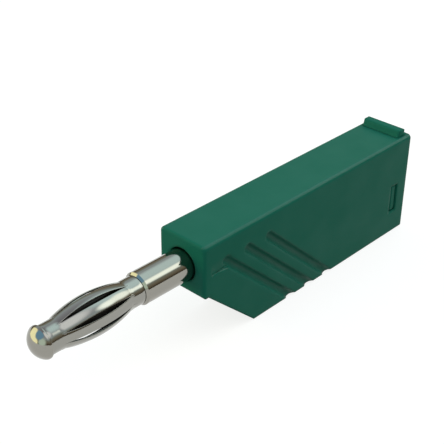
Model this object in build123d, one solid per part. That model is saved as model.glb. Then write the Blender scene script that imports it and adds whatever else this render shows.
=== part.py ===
from build123d import *
import math
import os

# Four-millimetre banana plug: a slim moulded housing with a sprung pin at the front,
# a socket for a second plug at the rear, and a wire terminal below that socket.
#
# Frame, in millimetres: the origin is on the pin's axis in the housing's front face,
# +X runs along the axis to the rear, +Y is the left side and +Z is up.

# Turned contact pin
shaft_radius = 2.0
shaft_length = 6.95
head_radius = 1.95
head_length = 1.47
head_crown_radius = 2.2
head_rim_bevel = 0.12
head_back_x = -20.15
core_radius = 1.5
shoulder_radius = 1.74
shoulder_chamfer_length = 0.25
shank_clearance = 0.06
shank_depth = 0.8
collar_radius = 2.5
collar_length = 8.5
collar_chamfer = 0.3
tail_radius = 1.8
tail_length = 3.0

# Leaf cage, rolled from sheet round the core
leaf_count = 9
sheet_thickness = 0.2
ring_radius = 1.74
bulge_radius = 2.435
front_ring_length = 1.8
bulge_length = 9.25
cage_end_play = 0.05
slit_end_margin = 0.1
slit_end_width = 0.1
slit_middle_width = 0.36
seam_width = 0.12
first_slit_turn = 20.2
seam_slit_index = 5

# Moulded housing
housing_length = 40.7
housing_half_width = 3.6
top_z = 3.65
bottom_z = -10.84
nose_bottom_z = -3.36
slant_start_x = 0.75
slant_angle = 42.0
wall = 1.05
nose_length = 6.0
pin_hole_radius = 2.16
top_edge_round = 0.55
front_edge_round = 0.35
lower_edge_round = 0.25

# Grip grooves on both sides, parallel to the slanted edge
groove_count = 3
groove_bottom_x = 15.2
groove_pitch_x = 3.76
groove_top_z = 0.3
groove_depth = 0.5
groove_width = 1.29
groove_end_chamfer = 0.4
step_low_z = -0.62
step_high_z = 0.9
step_front_x = 1.3
step_depth = 0.4

# Rear cap with its lip, its boss and its two snap lugs
cap_fit_gap = 0.08
rebate_wall = 0.6
plate_thickness = 1.3
boss_length = 2.6
crown_length = 2.3
crown_side_gap = 0.06
lip_height = 0.9
lip_top_length = 1.12
lip_lean = 0.25
lip_front_offset = 0.1
lip_edge_round = 0.12
lug_window_from_rear = 3.5
lug_window_length = 1.5
lug_window_top_z = -3.2
lug_window_height = 4.2
lug_side_gap = 0.12
lug_rear_gap = 0.3
lug_recess = 0.12
lug_ramp = 0.3

# Terminal block with the rear socket, the wire bore and the tapped hole
block_gap = 0.05
press_gap = 0.01
socket_radius = 2.03
socket_floor_thickness = 1.1
socket_mouth_radius = 2.25
mouth_chamfer = 0.25
clamp_block_length = 12.8
clamp_floor_gap = 0.15
wire_axis_z = -5.7
wire_bore_radius = 1.5
wire_bore_depth = 10.5
wire_entry_radius = 2.1

# Clamp screw and the pad on its tip
screw_from_rear = 5.6
thread_radius = 1.5
thread_gap = 0.05
pad_thickness = 0.7
pad_sink = 0.05
pad_edge = 0.15
screw_length = 2.6
screw_point_chamfer = 0.25
screw_slot_width = 0.5
screw_slot_depth = 0.8
access_radius = 1.8

# Places that follow from the sizes above
slant = math.radians(slant_angle)
cavity_half_width = housing_half_width - wall
cavity_top_z = top_z - wall
cavity_bottom_z = bottom_z + wall
seat_x = housing_length - plate_thickness
boss_front_x = seat_x - boss_length
block_half_width = cavity_half_width - block_gap
block_front_x = nose_length + collar_length
tail_bore_end_x = block_front_x + tail_length + press_gap
socket_floor_x = tail_bore_end_x + socket_floor_thickness
tube_half_height = collar_radius
tube_bottom_z = -tube_half_height
clamp_bottom_z = cavity_bottom_z + clamp_floor_gap
wire_floor_z = wire_axis_z - wire_bore_radius
wire_roof_z = wire_axis_z + wire_bore_radius
screw_x = boss_front_x - screw_from_rear
lug_window_x = housing_length - lug_window_from_rear
cage_front_x = head_back_x + cage_end_play
cage_rear_x = -shaft_length - shoulder_chamfer_length - cage_end_play
bulge_front_x = cage_front_x + front_ring_length
bulge_rear_x = bulge_front_x + bulge_length


def box_between(x_low, x_high, y_low, y_high, z_low, z_high):
    """A box given by its six faces."""
    corner = (x_low, y_low, z_low)
    size = (x_high - x_low, y_high - y_low, z_high - z_low)
    return Pos(*corner) * Box(*size, align=(Align.MIN, Align.MIN, Align.MIN))


def rod_x(radius, x_low, x_high, z=0.0):
    """A round rod along X."""
    return Plane((x_low, 0, z), z_dir=(1, 0, 0)) * extrude(Circle(radius), x_high - x_low)


def rod_z(radius, z_low, z_high, x=0.0):
    """A round rod along Z."""
    return Pos(x, 0, z_low) * extrude(Circle(radius), z_high - z_low)


def cone_x(radius_low, radius_high, x_low, x_high, z=0.0):
    """A cone along X, for a countersunk mouth."""
    cone = Cone(radius_low, radius_high, x_high - x_low, align=(Align.CENTER, Align.CENTER, Align.MIN))
    return Plane((x_low, 0, z), z_dir=(1, 0, 0)) * cone


def both_sides(solid):
    """The solid and its mirror image on the other side."""
    return solid + mirror(solid, about=Plane.XZ)


def slant_x(z, inset=0.0):
    """Where the slanted lower front edge, moved in by the inset, has this height."""
    return slant_start_x + (nose_bottom_z - z) / math.tan(slant) + inset / math.sin(slant)


def make_pin_head():
    """Domed head: a wide crown arc at the tip runs into a tighter side arc and a bevelled rim."""
    widest_x = head_back_x - head_rim_bevel
    crown_x = head_back_x - head_length + head_crown_radius
    reach = widest_x - crown_x
    spread = head_crown_radius - head_radius
    side_radius = (head_crown_radius**2 - reach**2 - head_radius**2) / (2 * spread)
    lean = math.degrees(math.atan2(head_radius - side_radius, reach))
    crown = CenterArc((crown_x, 0), head_crown_radius, 180, lean - 180)
    side = CenterArc((widest_x, head_radius - side_radius), side_radius, lean, 90 - lean)
    rim = (head_back_x, head_radius - head_rim_bevel)
    back = Polyline(side @ 1, rim, (head_back_x, 0), crown @ 0)
    return revolve(Plane.XZ * make_face([crown, side, back]), Axis.X, 360)


def make_contact_pin():
    """Domed head, thin core under the cage, shaft, shank in the nose, collar and tail."""
    rear_x = block_front_x
    head = make_pin_head()
    core = rod_x(core_radius, head_back_x, -shaft_length)
    neck_x = -shaft_length - shoulder_chamfer_length
    shoulder = cone_x(shoulder_radius, shaft_radius, neck_x, -shaft_length)
    shaft = rod_x(shaft_radius, -shaft_length, shank_depth)
    shank = rod_x(pin_hole_radius - shank_clearance, shank_depth, nose_length)
    collar = rod_x(collar_radius, nose_length, rear_x)
    collar = chamfer(collar.edges().filter_by(GeomType.CIRCLE), collar_chamfer)
    tail = rod_x(tail_radius, rear_x, rear_x + tail_length)
    tail = chamfer(tail.edges().filter_by(GeomType.CIRCLE).sort_by(Axis.X)[-1], collar_chamfer)
    return head + core + shoulder + shaft + shank + collar + tail


def slit_cutter(end_width, middle_width, x_low, x_high):
    """A lens-shaped cutter that stands on the core and points up."""
    middle_x = (x_low + x_high) / 2
    left = ThreePointArc((x_low, end_width / 2), (middle_x, middle_width / 2), (x_high, end_width / 2))
    right = ThreePointArc((x_low, -end_width / 2), (middle_x, -middle_width / 2), (x_high, -end_width / 2))
    ends = [Line(left @ 0, right @ 0), Line(left @ 1, right @ 1)]
    lens = make_face([left, right] + ends)
    return Pos(0, 0, core_radius / 2) * extrude(lens, bulge_radius)


def make_spring_cage():
    """Sheet rolled round the core: two rings joined by bulged leaves, with an open seam."""
    middle_x = (bulge_front_x + bulge_rear_x) / 2
    inner_ring = ring_radius - sheet_thickness
    inner_bulge = bulge_radius - sheet_thickness
    outline = [
        Line((cage_front_x, inner_ring), (cage_front_x, ring_radius)),
        Line((cage_front_x, ring_radius), (bulge_front_x, ring_radius)),
        ThreePointArc((bulge_front_x, ring_radius), (middle_x, bulge_radius), (bulge_rear_x, ring_radius)),
        Line((bulge_rear_x, ring_radius), (cage_rear_x, ring_radius)),
        Line((cage_rear_x, ring_radius), (cage_rear_x, inner_ring)),
        Line((cage_rear_x, inner_ring), (bulge_rear_x, inner_ring)),
        ThreePointArc((bulge_rear_x, inner_ring), (middle_x, inner_bulge), (bulge_front_x, inner_ring)),
        Line((bulge_front_x, inner_ring), (cage_front_x, inner_ring)),
    ]
    section = Plane.XZ * make_face(outline)
    cage = revolve(section, Axis.X, 360)
    slit_front_x = bulge_front_x + slit_end_margin
    slit_rear_x = bulge_rear_x - slit_end_margin
    slit = slit_cutter(slit_end_width, slit_middle_width, slit_front_x, slit_rear_x)
    pitch = 360 / leaf_count
    for index in range(leaf_count):
        cage -= Rot(X=first_slit_turn + index * pitch) * slit
    seam_half = seam_width / 2
    seam = box_between(cage_front_x - 1, cage_rear_x + 1, -seam_half, seam_half, 0, bulge_radius + 1)
    cage -= Rot(X=first_slit_turn + seam_slit_index * pitch) * seam
    return cage


def groove_cutter(bottom_x):
    """One round groove on the right side: a chamfered rod run up from below the bottom face."""
    run = (-math.cos(slant), 0, math.sin(slant))
    across = (math.sin(slant), 0, math.cos(slant))
    half_width = groove_width / 2
    radius = (half_width**2 + groove_depth**2) / (2 * groove_depth)
    axis_y = -housing_half_width - (radius - groove_depth)
    length = (groove_top_z - bottom_z) / math.sin(slant)
    run_in = 2 * groove_width
    start = Plane((bottom_x, axis_y, bottom_z), x_dir=across, z_dir=run)
    rod = Cylinder(radius, length + run_in, align=(Align.CENTER, Align.CENTER, Align.MIN))
    rod = chamfer(rod.edges().filter_by(GeomType.CIRCLE).sort_by(Axis.Z)[-1], groove_end_chamfer)
    return start * Pos(half_width, 0, -run_in) * rod


def step_cutter():
    """The shallow wedge that runs out into the middle of the first groove, on the right side."""
    rear_x = slant_x(step_low_z) + (groove_bottom_x - slant_x(bottom_z)) + groove_width / 2
    deep = [(0, step_low_z), (step_depth, step_low_z), (0, step_high_z)]
    shallow_part = 0.05
    thin = [(0, step_low_z), (step_depth * shallow_part, step_low_z), (0, step_high_z)]
    rear = Plane((rear_x, -housing_half_width, 0), x_dir=(0, 1, 0), z_dir=(1, 0, 0))
    front = Plane((step_front_x, -housing_half_width, 0), x_dir=(0, 1, 0), z_dir=(1, 0, 0))
    rear_face = rear * make_face(Polyline(*deep, close=True))
    front_face = front * make_face(Polyline(*thin, close=True))
    return loft([front_face, rear_face])


def make_housing():
    """Moulded sleeve: closed nose round the shank, open rear, windows for the lugs."""
    outline = Polyline(
        (0, top_z),
        (housing_length, top_z),
        (housing_length, bottom_z),
        (slant_x(bottom_z), bottom_z),
        (slant_start_x, nose_bottom_z),
        (0, nose_bottom_z),
        close=True,
    )
    body = extrude(Plane.XZ * make_face(outline), housing_half_width, both=True)
    body = fillet(body.edges().filter_by(Axis.X).group_by(Axis.Z)[-1], top_edge_round)
    body = fillet(body.faces().sort_by(Axis.X)[0].edges(), front_edge_round)
    body = fillet(body.edges().filter_by(Axis.X).group_by(Axis.Z)[0], lower_edge_round)
    cavity_outline = Polyline(
        (nose_length, cavity_top_z),
        (housing_length + 1, cavity_top_z),
        (housing_length + 1, cavity_bottom_z),
        (slant_x(cavity_bottom_z, wall), cavity_bottom_z),
        (nose_length, nose_bottom_z - (nose_length - slant_x(nose_bottom_z, wall)) * math.tan(slant)),
        close=True,
    )
    body -= extrude(Plane.XZ * make_face(cavity_outline), cavity_half_width, both=True)
    rebate_half = housing_half_width - rebate_wall
    body -= box_between(seat_x, housing_length + 1, -rebate_half, rebate_half,
                        bottom_z + rebate_wall, top_z - rebate_wall)
    body -= box_between(housing_length - crown_length, housing_length + 1, -rebate_half, rebate_half,
                        cavity_top_z - 1, top_z + 1)
    body -= rod_x(pin_hole_radius, -1, nose_length + 1)
    window = box_between(lug_window_x, lug_window_x + lug_window_length,
                         -housing_half_width - 1, housing_half_width + 1,
                         lug_window_top_z - lug_window_height, lug_window_top_z)
    body -= window
    body -= rod_z(access_radius, bottom_z - 1, cavity_bottom_z + 1, screw_x)
    for index in range(groove_count):
        body -= both_sides(groove_cutter(groove_bottom_x + index * groove_pitch_x))
    body -= both_sides(step_cutter())
    return body


def make_rear_cap():
    """End plate in the housing's rebate, boss with the wire entry and lugs, crown with the lip."""
    rebate_half = housing_half_width - rebate_wall - cap_fit_gap
    plate = box_between(seat_x, housing_length, -rebate_half, rebate_half,
                        bottom_z + rebate_wall + cap_fit_gap, top_z - rebate_wall - cap_fit_gap)
    boss_half = cavity_half_width - cap_fit_gap
    boss = box_between(boss_front_x, seat_x, -boss_half, boss_half,
                       cavity_bottom_z + cap_fit_gap, tube_bottom_z - cap_fit_gap)
    crown_front_x = housing_length - crown_length + cap_fit_gap
    crown_half = housing_half_width - rebate_wall - crown_side_gap
    crown = box_between(crown_front_x, housing_length, -crown_half, crown_half,
                        tube_half_height + cap_fit_gap, top_z)
    lip_x = crown_front_x + lip_front_offset
    lip_rear_x = lip_x + lip_lean + lip_top_length
    lip_outline = Polyline(
        (lip_x, top_z - lip_height / 2),
        (lip_x, top_z),
        (lip_x + lip_lean, top_z + lip_height),
        (lip_rear_x, top_z + lip_height),
        (lip_rear_x, top_z - lip_height / 2),
        close=True,
    )
    lip = extrude(Plane.XZ * make_face(lip_outline), crown_half, both=True)
    lip = fillet(lip.edges().filter_by(Axis.Y).group_by(Axis.Z)[-1], lip_edge_round)
    lug_outer = housing_half_width - lug_recess
    lug = box_between(lug_window_x + lug_side_gap, lug_window_x + lug_window_length - lug_rear_gap,
                      -lug_outer, -boss_half / 2,
                      lug_window_top_z - lug_window_height + lug_rear_gap, lug_window_top_z - lug_side_gap)
    lug_front = lug.edges().filter_by(Axis.Z).group_by(Axis.Y)[0].sort_by(Axis.X)[0]
    lug = chamfer(lug_front, lug_ramp)
    cap = plate + boss + crown + lip + both_sides(lug)
    cap -= rod_x(socket_mouth_radius, seat_x - 1, housing_length + 1)
    cap -= cone_x(socket_mouth_radius, socket_mouth_radius + mouth_chamfer,
                  housing_length - mouth_chamfer, housing_length)
    cap -= rod_x(wire_entry_radius, boss_front_x - 1, housing_length + 1, wire_axis_z)
    return cap


def make_terminal_block():
    """Brass body: square tube with the tail bore and the socket, clamp block below its rear."""
    tube = box_between(block_front_x, seat_x, -block_half_width, block_half_width,
                       -tube_half_height, tube_half_height)
    clamp = box_between(boss_front_x - clamp_block_length, boss_front_x, -block_half_width, block_half_width,
                        clamp_bottom_z, 0)
    block = tube + clamp
    block -= rod_x(tail_radius + press_gap, block_front_x - 1, tail_bore_end_x)
    block -= rod_x(socket_radius, socket_floor_x, seat_x + 1)
    block -= rod_x(wire_bore_radius, boss_front_x - wire_bore_depth, boss_front_x + 1, wire_axis_z)
    block -= rod_z(thread_radius, clamp_bottom_z - 1, wire_roof_z, screw_x)
    return block


def make_pressure_pad():
    """Loose pad between the screw's tip and the wire."""
    top = wire_floor_z - pad_sink
    pad = rod_z(thread_radius - thread_gap, top - pad_thickness, top, screw_x)
    return chamfer(pad.edges().filter_by(GeomType.CIRCLE).group_by(Axis.Z)[-1], pad_edge)


def make_clamp_screw():
    """Headless screw with a driver slot, turned in from below."""
    top = wire_floor_z - pad_sink - pad_thickness
    screw = rod_z(thread_radius - thread_gap, top - screw_length, top, screw_x)
    screw = chamfer(screw.edges().filter_by(GeomType.CIRCLE).group_by(Axis.Z)[-1], screw_point_chamfer)
    foot = top - screw_length
    screw -= box_between(screw_x - thread_radius, screw_x + thread_radius,
                         -screw_slot_width / 2, screw_slot_width / 2, foot - 1, foot + screw_slot_depth)
    return screw


nodes = {
    "housing": make_housing,
    "rear_cap": make_rear_cap,
    "contact_pin": make_contact_pin,
    "spring_cage": make_spring_cage,
    "terminal_block": make_terminal_block,
    "pressure_pad": make_pressure_pad,
    "clamp_screw": make_clamp_screw,
}

os.makedirs("parts", exist_ok=True)
for name, make in nodes.items():
    solid = make()
    export_step(solid, "parts/" + name + ".step")
    print(name, "solids", len(solid.solids()), "volume", round(solid.volume, 2))
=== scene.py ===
# %% [markdown]
# # A four-millimetre banana plug
# The plug joins a test lead to an instrument: a sprung, plated pin at the front, a slim green
# moulded sleeve for the fingers, and a rear socket that takes a second plug. Its engineering
# model is loaded first and stays fixed. This lesson gives it the finishes of moulded plastic
# and bright plate, and builds the round metal pieces again, because polished metal shows
# every facet of a coarse surface.

# %% Load the engineering model
import math

import bmesh
import bpy
from mathutils import Matrix, Vector


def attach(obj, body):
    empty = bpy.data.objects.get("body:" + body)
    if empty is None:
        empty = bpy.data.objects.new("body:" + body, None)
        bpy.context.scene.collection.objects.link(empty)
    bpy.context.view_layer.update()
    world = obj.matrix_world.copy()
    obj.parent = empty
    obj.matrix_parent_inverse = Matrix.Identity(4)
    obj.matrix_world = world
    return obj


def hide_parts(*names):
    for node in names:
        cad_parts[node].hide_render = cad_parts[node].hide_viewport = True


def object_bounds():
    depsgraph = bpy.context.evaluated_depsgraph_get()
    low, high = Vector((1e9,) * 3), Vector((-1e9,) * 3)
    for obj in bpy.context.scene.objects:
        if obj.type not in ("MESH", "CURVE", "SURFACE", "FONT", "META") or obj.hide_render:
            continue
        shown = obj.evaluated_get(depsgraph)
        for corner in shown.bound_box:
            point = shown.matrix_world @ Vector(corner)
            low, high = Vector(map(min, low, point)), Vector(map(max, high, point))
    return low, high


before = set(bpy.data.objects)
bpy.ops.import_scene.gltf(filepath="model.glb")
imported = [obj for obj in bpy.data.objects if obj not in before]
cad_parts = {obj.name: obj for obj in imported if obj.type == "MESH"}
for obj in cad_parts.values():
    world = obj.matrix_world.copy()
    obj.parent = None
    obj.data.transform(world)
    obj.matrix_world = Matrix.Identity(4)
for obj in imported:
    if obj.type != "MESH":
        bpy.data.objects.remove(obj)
engineering_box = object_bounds()
MM = 0.001
print("nodes:", ", ".join(sorted(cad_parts)))
print("box in mm:", [[round(c / MM, 2) for c in corner] for corner in engineering_box])

# %% [markdown]
# ## The camera
# A small object photographed from close by shows clear perspective: the far end of the
# housing is smaller than the near end. The focal length and the place were worked out from
# the straight edges and corners of the housing and from the two sides of the pin's shaft. The
# three directions of the camera are written as the columns of its matrix, which leaves no
# doubt about roll.

# %% Place the camera
eye = Vector((-67.488, -68.443, 63.334)) * MM
to_right = Vector((0.68368, -0.72967, 0.01297))
to_bottom = Vector((-0.36788, -0.35994, -0.85738))
forward = Vector((0.63028, 0.58140, -0.51451))
camera_data = bpy.data.cameras.new("camera")
camera_data.sensor_fit = "HORIZONTAL"
camera_data.sensor_width = 36.0
camera_data.lens = 80.91
camera_data.clip_start = 0.002
camera = bpy.data.objects.new("camera", camera_data)
bpy.context.collection.objects.link(camera)
turn = Matrix((to_right, -to_bottom, -forward)).transposed().to_4x4()
camera.matrix_world = Matrix.Translation(eye) @ turn
bpy.context.scene.camera = camera
print("camera", round((eye.length) / MM, 1), "mm from the pin's root")

# %% [markdown]
# ## The floor
# The plug rests on a plain pale table. A product photograph is exposed until its table is
# white, so a little glow is added to the table's own colour. Only the camera and the rays
# that metal and glass send out see this glow: it puts no light on the plug, the soft shadow
# stays, and the metal shows the same white table as the eye does. The table is eight metres
# wide, so that a view from low down still ends on it.

# %% Lay the floor
floor_size = 8.0
floor_colour = (0.25, 0.24, 0.235, 1.0)
table_roughness, table_gloss, table_glow = 0.85, 0.2, 0.80
floor_drop = 0.02 * MM
floor_height = engineering_box[0][2] - floor_drop
sheet = bmesh.new()
bmesh.ops.create_grid(sheet, x_segments=1, y_segments=1, size=floor_size / 2)
bmesh.ops.translate(sheet, verts=sheet.verts, vec=(0, 0, floor_height))
floor_mesh = bpy.data.meshes.new("floor")
sheet.to_mesh(floor_mesh)
sheet.free()
floor = bpy.data.objects.new("floor", floor_mesh)
bpy.context.collection.objects.link(floor)
table_top = bpy.data.materials.new("table_top")
table_top.use_nodes = True
table_shader = table_top.node_tree.nodes["Principled BSDF"]
table_shader.inputs["Base Color"].default_value = floor_colour
table_shader.inputs["Roughness"].default_value = table_roughness
table_shader.inputs["Specular IOR Level"].default_value = table_gloss
table_nodes = table_top.node_tree.nodes
table_links = table_top.node_tree.links
ray = table_nodes.new("ShaderNodeLightPath")
camera_or_metal = table_nodes.new("ShaderNodeMath")
camera_or_metal.operation = "ADD"
table_links.new(ray.outputs["Is Camera Ray"], camera_or_metal.inputs[0])
table_links.new(ray.outputs["Is Glossy Ray"], camera_or_metal.inputs[1])
seen_rays = table_nodes.new("ShaderNodeMath")
seen_rays.operation = "ADD"
seen_rays.use_clamp = True
table_links.new(camera_or_metal.outputs["Value"], seen_rays.inputs[0])
table_links.new(ray.outputs["Is Transmission Ray"], seen_rays.inputs[1])
glow_share = table_nodes.new("ShaderNodeMath")
glow_share.operation = "MULTIPLY"
glow_share.inputs[1].default_value = table_glow
table_links.new(seen_rays.outputs["Value"], glow_share.inputs[0])
table_shader.inputs["Emission Color"].default_value = (1.0, 1.0, 1.0, 1.0)
table_links.new(glow_share.outputs["Value"], table_shader.inputs["Emission Strength"])
floor_mesh.materials.append(table_top)
print("floor at", round(floor_height / MM, 2), "mm")

# %% [markdown]
# ## The room
# Bright plate has hardly any colour of its own: what is seen is the room in it. The pin in
# the photograph shows a slightly blue ceiling down to some 30 degrees above the horizon,
# brown walls below that, and a dark line where the walls end. A ramp by height gives the same
# room, and the same light from above on the plastic. Soft round patches are then laid over
# the ramp, each with a direction and a width: the brighter ceiling at the rear, a window high
# on the right, a softbox at the rear right that whitens the middle of the shaft and of one
# leaf, a pale and a warm one low in front that light the front face, and a blue window above
# them. Two patches side by side make one long box. A domed head is a mirror of nearly the
# whole room: each of its points was traced back to the direction that it shows, and that is
# where the warm box and the blue window were put.

# %% Build the room
room_light = 1.0
MIX_SHARE, MIX_UNDER, MIX_OVER, MIX_RESULT = 0, 6, 7, 2  # sockets of a Mix node for colours
# height of each band (0 the horizon, 1 straight up) and its colour
room_bands = [
    (0.00, (0.080, 0.062, 0.036)),
    (0.06, (0.120, 0.092, 0.056)),
    (0.21, (0.330, 0.280, 0.195)),
    (0.37, (0.420, 0.400, 0.320)),
    (0.47, (0.460, 0.520, 0.470)),
    (0.55, (0.720, 0.830, 0.860)),
    (0.78, (0.590, 0.620, 0.680)),
    (1.00, (0.430, 0.430, 0.480)),
]
# name, azimuth and elevation, full within and faded out beyond (all in degrees), colour
room_patches = [
    ("rear_ceiling", 0, 50, 10, 34, (1.28, 1.62, 1.66)),
    ("right_window", -95, 63, 14, 30, (1.70, 1.75, 1.80)),
    ("rear_softbox", -38, 37, 5, 15, (2.90, 3.10, 2.90)),
    ("rear_softbox_end", -20, 29, 6, 17, (2.70, 2.85, 2.65)),
    ("front_window", -160, 14, 12, 26, (1.15, 1.40, 1.20)),
    ("warm_front", 126, 18, 20, 30, (2.60, 2.50, 1.50)),
    ("warm_front_end", 158, 4, 12, 22, (2.60, 2.50, 1.50)),
    ("blue_window", 168, 44, 20, 28, (0.36, 0.70, 1.00)),
]
room = bpy.data.worlds.new("room")
bpy.context.scene.world = room
room.use_nodes = True
room_nodes = room.node_tree.nodes
room_links = room.node_tree.links
direction = room_nodes.new("ShaderNodeTexCoord")
height_part = room_nodes.new("ShaderNodeSeparateXYZ")
bands = room_nodes.new("ShaderNodeValToRGB")
room_links.new(direction.outputs["Generated"], height_part.inputs["Vector"])
room_links.new(height_part.outputs["Z"], bands.inputs["Fac"])


def lay_patch(under, azimuth, elevation, inner, outer, colour):
    """Lays one soft round patch of light over the colours so far; all angles in degrees."""
    across, up = math.radians(azimuth), math.radians(elevation)
    aim = (math.cos(across) * math.cos(up), math.sin(across) * math.cos(up), math.sin(up))
    facing = room_nodes.new("ShaderNodeVectorMath")
    facing.operation = "DOT_PRODUCT"
    room_links.new(direction.outputs["Generated"], facing.inputs[0])
    facing.inputs[1].default_value = aim
    share = room_nodes.new("ShaderNodeMapRange")
    share.interpolation_type = "SMOOTHSTEP"
    share.inputs["From Min"].default_value = math.cos(math.radians(outer))
    share.inputs["From Max"].default_value = math.cos(math.radians(inner))
    room_links.new(facing.outputs["Value"], share.inputs["Value"])
    over = room_nodes.new("ShaderNodeMix")
    over.data_type = "RGBA"
    over.clamp_factor = True
    room_links.new(share.outputs["Result"], over.inputs[MIX_SHARE])
    room_links.new(under, over.inputs[MIX_UNDER])
    over.inputs[MIX_OVER].default_value = (*colour, 1.0)
    return over.outputs[MIX_RESULT]


room_colour = bands.outputs["Color"]
for patch_name, azimuth, elevation, inner, outer, colour in room_patches:
    room_colour = lay_patch(room_colour, azimuth, elevation, inner, outer, colour)
    print(patch_name, "at", azimuth, elevation)
room_links.new(room_colour, room_nodes["Background"].inputs["Color"])
room_nodes["Background"].inputs["Strength"].default_value = room_light
ramp = bands.color_ramp
ramp.elements[0].position = room_bands[0][0]
ramp.elements[0].color = (*room_bands[0][1], 1.0)
ramp.elements[1].position = room_bands[-1][0]
ramp.elements[1].color = (*room_bands[-1][1], 1.0)
for place, colour in room_bands[1:-1]:
    ramp.elements.new(place).color = (*colour, 1.0)
print("room bands:", len(ramp.elements))

# %% [markdown]
# ## Moulded green plastic
# The sleeve is injection moulded, and its satin face is the print of a finely eroded mould:
# a grain of about a tenth of a millimetre that is felt more than seen. The colour and the
# gloss drift very slightly over the surface. A moulded edge is never sharp, so the Bevel node
# rounds the shading along each edge by half a millimetre: the rims of the grooves catch the
# light from above as a soft line, as they do on the real sleeve.

# %% Mix the green plastic
def new_finish(name):
    """A node material, its Principled shader, and a function that adds nodes to it."""
    finish = bpy.data.materials.new(name)
    finish.use_nodes = True
    tree = finish.node_tree
    shader = tree.nodes["Principled BSDF"]

    def add(kind, **settings):
        node = tree.nodes.new(kind)
        for key, value in settings.items():
            if key in node.inputs:
                node.inputs[key].default_value = value
            else:
                setattr(node, key, value)
        return node

    return finish, shader, tree.links, add


def drifting_value(links, add, vector, scale, low, high):
    """A noise on the object's own coordinates, turned into values from low to high."""
    usual_low, usual_high = 0.3, 0.7  # this part of the noise is spread over the whole range
    noise = add("ShaderNodeTexNoise", Scale=scale, Detail=3.0)
    spread = add("ShaderNodeMapRange")
    spread.inputs["From Min"].default_value = usual_low
    spread.inputs["From Max"].default_value = usual_high
    spread.inputs["To Min"].default_value = low
    spread.inputs["To Max"].default_value = high
    links.new(vector, noise.inputs["Vector"])
    links.new(noise.outputs["Fac"], spread.inputs["Value"])
    return spread.outputs["Result"], noise.outputs["Fac"]


green_light = (0.0090, 0.122, 0.083, 1.0)
green_deep = (0.0070, 0.110, 0.073, 1.0)
edge_softness = 0.50 * MM
side_gloss = 0.05
green_plastic, shader, links, add = new_finish("green_moulded_plastic")
place = add("ShaderNodeTexCoord").outputs["Object"]
roughness, drift = drifting_value(links, add, place, scale=260.0, low=0.40, high=0.50)
links.new(roughness, shader.inputs["Roughness"])
tint = add("ShaderNodeMix", data_type="RGBA")
tint.inputs[MIX_UNDER].default_value = green_light
tint.inputs[MIX_OVER].default_value = green_deep
links.new(drift, tint.inputs[MIX_SHARE])
links.new(tint.outputs[MIX_RESULT], shader.inputs["Base Color"])
grain = add("ShaderNodeTexNoise", Scale=9000.0, Detail=2.0)
links.new(place, grain.inputs["Vector"])
soft_edge = add("ShaderNodeBevel", Radius=edge_softness, samples=10)
relief = add("ShaderNodeBump", Strength=0.10, Distance=0.01 * MM)
links.new(grain.outputs["Fac"], relief.inputs["Height"])
links.new(soft_edge.outputs["Normal"], relief.inputs["Normal"])
links.new(relief.outputs["Normal"], shader.inputs["Normal"])
shader.inputs["Specular IOR Level"].default_value = side_gloss
print("mixed", green_plastic.name)

# %% [markdown]
# ## Bright nickel plate
# The pin is turned from brass rod and plated. The plate is thin and bright, and lets through
# a trace of the rings that the turning tool left. Rolled sheet has no rings, but fine streaks
# along the rolling direction, so the cage gets a plate of its own. The cage's inside and the
# core under it are painted nearly black, a painted shade: between the leaves the eye looks
# into shade. Real nickel is lighter than the plate that is mixed here. It is written darker
# because the white table that it mirrors is brighter than what the pin in the photograph
# mirrors.

# %% Plate the turned and the rolled metal
def plate(name, colour, rough_low, rough_high, mark_scale, mark_strength):
    """A metal plate; mark_scale stretches its fine marks along or across the pin."""
    finish, shader, links, add = new_finish(name)
    place = add("ShaderNodeTexCoord").outputs["Object"]
    roughness = drifting_value(links, add, place, scale=500.0, low=rough_low, high=rough_high)[0]
    links.new(roughness, shader.inputs["Roughness"])
    stretch = add("ShaderNodeMapping")
    stretch.inputs["Scale"].default_value = mark_scale
    marks = add("ShaderNodeTexNoise", Scale=1.0, Detail=2.0)
    relief = add("ShaderNodeBump", Strength=mark_strength, Distance=0.004 * MM)
    links.new(place, stretch.inputs["Vector"])
    links.new(stretch.outputs["Vector"], marks.inputs["Vector"])
    links.new(marks.outputs["Fac"], relief.inputs["Height"])
    links.new(relief.outputs["Normal"], shader.inputs["Normal"])
    shader.inputs["Base Color"].default_value = colour
    shader.inputs["Metallic"].default_value = 1.0
    return finish


turned_plate = plate("turned_nickel_plate", (0.29, 0.28, 0.25, 1.0), rough_low=0.07,
                     rough_high=0.12, mark_scale=(9000, 60, 60), mark_strength=0.10)
rolled_plate = plate("rolled_nickel_plate", (0.29, 0.285, 0.26, 1.0), rough_low=0.08,
                     rough_high=0.13, mark_scale=(200, 5000, 5000), mark_strength=0.10)
# painted shade: a nearly black, dull plate for the cage's inside and the covered core, where the
# eye looks into shade
painted_shade_inside = plate("painted_shade_inside", (0.035, 0.032, 0.028, 1.0), rough_low=0.35,
                    rough_high=0.50, mark_scale=(2000, 2000, 2000), mark_strength=0.10)
screw_plate = plate("zinc_plated_steel", (0.60, 0.61, 0.63, 1.0), rough_low=0.25,
                    rough_high=0.36, mark_scale=(3000, 3000, 3000), mark_strength=0.25)
print("plated", turned_plate.name, rolled_plate.name, painted_shade_inside.name, screw_plate.name)

# %% [markdown]
# ## Finishes on the engineering pieces
# Where a piece of the engineering model has the right shape, it stays and only gets its
# finish.

# %% Give the pieces their finishes
finish_of = {
    "rear_cap": green_plastic,
    "terminal_block": turned_plate,
    "pressure_pad": screw_plate,
    "clamp_screw": screw_plate,
}
for node, finish in finish_of.items():
    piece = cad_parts[node]
    piece.data.materials.clear()
    piece.data.materials.append(finish)
print("finished:", len(finish_of))

# %% [markdown]
# ## The turned pin
# A lathe makes the pin, and so does this cell: its outline is drawn once, from the tip to
# the tail, and spun round the axis. Straight runs are extruded points. The dome's two arcs
# and its rim are a point spun round each arc's centre, so they run into each other without a
# corner, as a form tool cuts them.

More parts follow.
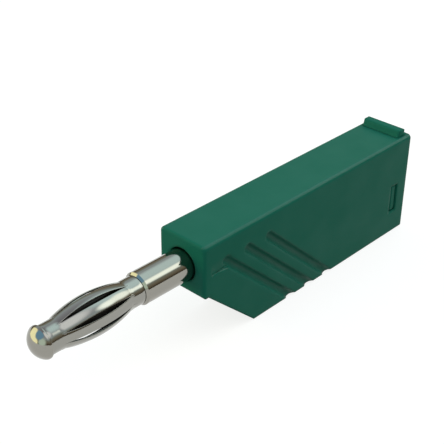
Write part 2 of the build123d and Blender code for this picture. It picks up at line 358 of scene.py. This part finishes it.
# %% Draw an outline and spin it
def run_to(outline, point, x, radius):
    """Extends the outline in a straight run and returns its new end point."""
    new_end = bmesh.ops.extrude_vert_indiv(outline, verts=[point])["verts"][0]
    target = Vector((x * MM, 0, radius * MM))
    bmesh.ops.translate(outline, verts=[new_end], vec=target - new_end.co)
    return new_end


def arc_by(outline, point, centre_x, centre_radius, degrees, steps):
    """Extends the outline along an arc round a centre and returns its new end point."""
    centre = (centre_x * MM, 0, centre_radius * MM)
    made = bmesh.ops.spin(outline, geom=[point], cent=centre, axis=(0, 1, 0),
                          angle=math.radians(degrees), steps=steps, use_duplicate=False)
    return [item for item in made["geom_last"] if isinstance(item, bmesh.types.BMVert)][0]


def finish_piece(name, shape, finish, body, slot, *nodes, sharp_angle=30):
    """Turns a bmesh into a smooth object that rides on a body and stands for its nodes."""
    mesh = bpy.data.meshes.new(name)
    shape.to_mesh(mesh)
    shape.free()
    mesh.shade_smooth()
    mesh.set_sharp_from_angle(angle=math.radians(sharp_angle))
    mesh.materials.append(finish)
    piece = bpy.data.objects.new(name, mesh)
    bpy.context.collection.objects.link(piece)
    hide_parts(*nodes)
    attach(piece, body)
    print(name, "faces", len(mesh.polygons))
    return piece


tip_x, widest_x, head_back_x = -21.62, -20.27, -20.15
crown_radius, head_radius, rim_radius = 2.2, 1.95, 0.12
core_radius, core_rear_x = 1.5, -7.2
shaft_radius, shaft_front_x = 2.0, -6.95
crown_steps, side_steps, rim_steps, lathe_steps = 18, 14, 6, 160
near = 0.01  # two places closer than this, in millimetres, are one
merge_distance = 1e-7
crown_centre_x = tip_x + crown_radius
reach = widest_x - crown_centre_x
side_radius = (crown_radius**2 - reach**2 - head_radius**2) / (2 * (crown_radius - head_radius))
crown_sweep = 90 - math.degrees(math.atan2(-reach, head_radius - side_radius))
behind_the_head = [
    (head_back_x, core_radius), (core_rear_x, core_radius),
    (core_rear_x, 1.74), (shaft_front_x, shaft_radius), (0.8, shaft_radius),
    (0.8, 2.1), (6, 2.1), (6, 2.2), (6.3, 2.5), (14.2, 2.5), (14.5, 2.2),
    (14.5, 1.8), (17.2, 1.8), (17.5, 1.5), (17.5, 0),
]
pin = bmesh.new()
end = pin.verts.new((tip_x * MM, 0, 0))
end = arc_by(pin, end, crown_centre_x, 0, crown_sweep, crown_steps)
end = arc_by(pin, end, widest_x, head_radius - side_radius, 90 - crown_sweep, side_steps)
end = arc_by(pin, end, widest_x, head_radius - rim_radius, 90, rim_steps)
print("the rim ends at", round(end.co.x / MM, 2), "radius", round(end.co.z / MM, 2))
for x, radius in behind_the_head:
    end = run_to(pin, end, x, radius)
bmesh.ops.spin(pin, geom=pin.verts[:] + pin.edges[:], cent=(0, 0, 0), axis=(1, 0, 0),
               angle=2 * math.pi, steps=lathe_steps, use_merge=True)
bmesh.ops.remove_doubles(pin, verts=pin.verts, dist=merge_distance)
bmesh.ops.recalc_face_normals(pin, faces=pin.faces)


def on_the_core(v):
    """Whether this point of the pin lies on the core, which the cage covers."""
    x, radius = v.co.x / MM, math.hypot(v.co.y, v.co.z) / MM
    return abs(radius - core_radius) < near and head_back_x - near < x < core_rear_x + near


# the core under the cage gets the second finish, the nearly black painted shade
covered_core = [face for face in pin.faces if all(on_the_core(v) for v in face.verts)]
for face in covered_core:
    face.material_index = 1
print("faces of the covered core:", len(covered_core))
contact_pin = finish_piece("turned_pin", pin, turned_plate, "plug", "nickel_plated_brass",
                           "contact_pin")
contact_pin.data.materials.append(painted_shade_inside)

# %% [markdown]
# ## The leaf cage
# The cage is stamped from thin spring sheet as a ladder of narrow leaves, bulged, and rolled
# into a tube round the pin's core. Pressed into a socket, the leaves flatten and grip. One
# leaf is made here and copied round. Its run, two straight rings with a long shallow arc
# between them, is spun over one leaf's share of the turn, and its sides are then drawn in to
# open the lens-shaped slits. The rings stay whole, apart from the open seam of the roll. The
# slits are wider here than in the engineering model, 0.62 mm in place of 0.36, so that the
# lowest one in view lets the table show through.

# %% Roll the cage
leaf_count = 9
sheet_thickness = 0.2
edge_wear, edge_steps, sharp_corner = 0.035 * MM, 2, math.radians(40)
ring_steps, bow_steps, leaf_steps = 4, 64, 14
seam_merge_distance = 2e-7
cage_front_x, bulge_front_x, bulge_rear_x, cage_rear_x = -20.10, -18.30, -9.05, -7.25
ring_radius, bulge_radius = 1.74, 2.435
slit_width, slit_end_margin = 0.62, 0.1
first_slit, seam_slit, seam_width = 110.2, 5, 0.12
leaf_share = 2 * math.pi / leaf_count
half_run = (bulge_rear_x - bulge_front_x) / 2
rise = bulge_radius - ring_radius
bow_radius = (half_run**2 + rise**2) / (2 * rise)
bow_angle = 2 * math.degrees(math.asin(half_run / bow_radius))
bulge_middle_x = (bulge_front_x + bulge_rear_x) / 2


def slit_half_width(x):
    """Half the slit's width at this place along the cage, in millimetres."""
    half_slit = half_run - slit_end_margin
    along = (x - bulge_middle_x) / half_slit
    return slit_width / 2 * (1 - along**2) if abs(along) < 1 else 0.0


def straight_ring(outline, point, from_x, to_x):
    """Extends the outline along one straight ring and returns its new end point."""
    for step in range(1, ring_steps + 1):
        point = run_to(outline, point, from_x + (to_x - from_x) * step / ring_steps, ring_radius)
    return point


def faces_out(face):
    """Whether the face looks away from the pin's axis."""
    centre = face.calc_center_median()
    return face.normal.dot(Vector((0, centre.y, centre.z))) > 0


cage = bmesh.new()
end = cage.verts.new((cage_front_x * MM, 0, ring_radius * MM))
end = straight_ring(cage, end, cage_front_x, bulge_front_x)
end = arc_by(cage, end, bulge_middle_x, bulge_radius - bow_radius, bow_angle, bow_steps)
end = straight_ring(cage, end, bulge_rear_x, cage_rear_x)
bmesh.ops.spin(cage, geom=cage.verts[:] + cage.edges[:], cent=(0, 0, 0), axis=(1, 0, 0),
               angle=leaf_share, steps=leaf_steps)
turns = [math.atan2(v.co.z, v.co.y) for v in cage.verts]
middle_turn = (min(turns) + max(turns)) / 2
for v in cage.verts:
    radius = math.hypot(v.co.y, v.co.z)
    share = (math.atan2(v.co.z, v.co.y) - middle_turn) / (leaf_share / 2)
    drawn_in = slit_half_width(v.co.x / MM) * MM / radius
    turn_now = math.radians(first_slit) + leaf_share / 2 + share * (leaf_share / 2 - drawn_in)
    v.co.y = radius * math.cos(turn_now)
    v.co.z = radius * math.sin(turn_now)
one_leaf = cage.verts[:] + cage.edges[:] + cage.faces[:]
for index in range(1, leaf_count):
    copy = bmesh.ops.duplicate(cage, geom=one_leaf)["geom"]
    points = [item for item in copy if isinstance(item, bmesh.types.BMVert)]
    bmesh.ops.rotate(cage, verts=points, cent=(0, 0, 0),
                     matrix=Matrix.Rotation(index * leaf_share, 3, "X"))
seam_turn = math.radians(first_slit) + seam_slit * leaf_share
for face in cage.faces:
    centre = face.calc_center_median()
    side = math.remainder(math.atan2(centre.z, centre.y) - seam_turn, 2 * math.pi)
    for v in face.verts:
        off = math.remainder(math.atan2(v.co.z, v.co.y) - seam_turn, 2 * math.pi)
        radius = math.hypot(v.co.y, v.co.z)
        half_seam = seam_width / 2 * MM / radius
        if abs(off) < half_seam / 2:
            v.co.y = radius * math.cos(seam_turn + math.copysign(half_seam, side))
            v.co.z = radius * math.sin(seam_turn + math.copysign(half_seam, side))
bmesh.ops.remove_doubles(cage, verts=cage.verts, dist=seam_merge_distance)
bmesh.ops.recalc_face_normals(cage, faces=cage.faces)
if sum(1 for face in cage.faces if faces_out(face)) < len(cage.faces) / 2:
    bmesh.ops.reverse_faces(cage, faces=cage.faces)
leaf_cage = finish_piece("rolled_leaf_cage", cage, rolled_plate, "cage", "nickel_plated_spring",
                         "spring_cage")
sheet_metal = leaf_cage.modifiers.new("sheet", "SOLIDIFY")
sheet_metal.thickness = sheet_thickness * MM
sheet_metal.offset = -1.0
sheet_metal.use_even_offset = True
# the inner shell of the sheet gets the nearly black painted shade finish
leaf_cage.data.materials.append(painted_shade_inside)
sheet_metal.material_offset = 1
worn_edge = leaf_cage.modifiers.new("edge", "BEVEL")
worn_edge.width = edge_wear
worn_edge.segments = edge_steps
worn_edge.limit_method = "ANGLE"
worn_edge.angle_limit = sharp_corner
print("cage bow radius", round(bow_radius, 2), "mm")

# %% [markdown]
# ## The sleeve's grip step
# Above the front groove the side has a shallow recess, and its floor ends on a ledge where the
# thumb finds a hold. In the photograph a pale line of light runs along that ledge, as it does
# on a rounded shoulder; a sharp ledge under the recess lies in shade. A copy of the
# engineering sleeve is merged, and only the ledge's corner points are moved: the outer edge
# slides down the side, along the groove's rim, and the inner edge goes deeper at its front.
# All other points stay, and so the sleeve keeps its outside size. The ledge, the two rounded
# top edges and, faintly, the top get copies of the plastic with more gloss, as if hands had
# polished them, and a pale line of light runs along each.

# %% Round the shoulder of the grip step
half_width, ledge_z = 3.6, -0.62
shoulder_drop, rim_slope = 0.24, math.radians(42)
ledge_softness = 0.08 * MM
ledge_gloss, edge_gloss, top_gloss = 0.60, 0.24, 0.12
sleeve_sharp_angle = 12
LEDGE, TOP_EDGES, TOP = 1, 2, 3  # slots of the polished copies of the plastic
# place along the ledge, depth under the side, and how much deeper the point goes
inner_points = [(1.3, 0.020, 0.12), (1.958, 0.084, 0.14), (2.651, 0.149, 0.14)]
# place along the ledge, and how far the point slides to the rear as it drops
outer_points = [(1.3, 0.0), (3.85, shoulder_drop / math.tan(rim_slope))]
sleeve = bmesh.new()
sleeve.from_mesh(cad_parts["housing"].data)
bmesh.ops.remove_doubles(sleeve, verts=sleeve.verts, dist=merge_distance)


def ledge_points(x, depth):
    """The sleeve's points on the ledge at this place and depth, on both sides."""
    return [v for v in sleeve.verts
            if abs(v.co.x / MM - x) < near and abs(v.co.z / MM - ledge_z) < near
            and abs(abs(v.co.y) / MM - half_width + depth) < near]


for x, depth, deeper in inner_points:
    for v in ledge_points(x, depth):
        bmesh.ops.translate(sleeve, verts=[v], vec=(0, -math.copysign(deeper * MM, v.co.y), 0))
        print("inner point at", x, "on side", round(math.copysign(1, v.co.y)))
for x, rear_step in outer_points:
    found = ledge_points(x, 0.0)
    bmesh.ops.translate(sleeve, verts=found, vec=(rear_step * MM, 0, -shoulder_drop * MM))
    print("outer points at", x, ":", len(found))
sleeve.normal_update()
ledge_front_x, ledge_rear_x, ledge_low_z, ledge_high_z, ledge_side_y = 1.2, 4.3, -0.95, -0.60, 3.2
top_low_z, top_rear_x, top_side_y = 3.4, 38, 2.6
ledge_upward, edge_upward, flat_upward = 0.2, 0.25, 0.97
for face in sleeve.faces:
    middle, upward = face.calc_center_median() / MM, face.normal.z
    if (ledge_front_x < middle.x < ledge_rear_x and ledge_low_z < middle.z < ledge_high_z
            and abs(middle.y) > ledge_side_y and upward > ledge_upward):
        face.material_index = LEDGE
    if (middle.z > top_low_z and edge_upward < upward < flat_upward
            and middle.x < top_rear_x and abs(middle.y) > top_side_y):
        face.material_index = TOP_EDGES
    if middle.z > top_low_z and upward >= flat_upward:
        face.material_index = TOP
for index, part_name in ((LEDGE, "ledge"), (TOP_EDGES, "top edges"), (TOP, "top")):
    print(part_name, "faces:", sum(1 for face in sleeve.faces if face.material_index == index))
moulded_sleeve = finish_piece("moulded_sleeve", sleeve, green_plastic, "plug", "green_plastic",
                              "housing", sharp_angle=sleeve_sharp_angle)


def polished_plastic(name, softness, gloss):
    """A copy of the green plastic with its own edge rounding and gloss."""
    finish = green_plastic.copy()
    finish.name = name
    for node in finish.node_tree.nodes:
        if node.type == "BEVEL":
            node.inputs["Radius"].default_value = softness
        if node.type == "BSDF_PRINCIPLED":
            node.inputs["Specular IOR Level"].default_value = gloss
    return finish


for name, softness, gloss in (("green_polished_ledge", ledge_softness, ledge_gloss),
                              ("green_polished_edge", edge_softness, edge_gloss),
                              ("green_worn_top", edge_softness, top_gloss)):
    moulded_sleeve.data.materials.append(polished_plastic(name, softness, gloss))
print("sleeve plastics:", len(moulded_sleeve.data.materials))

# %% [markdown]
# ## Colour handling
# The Standard view shows a colour as it is written, so the green that was mixed above is the
# green that is seen.

# %% Set the view and finish
bpy.context.scene.view_settings.view_transform = "Standard"
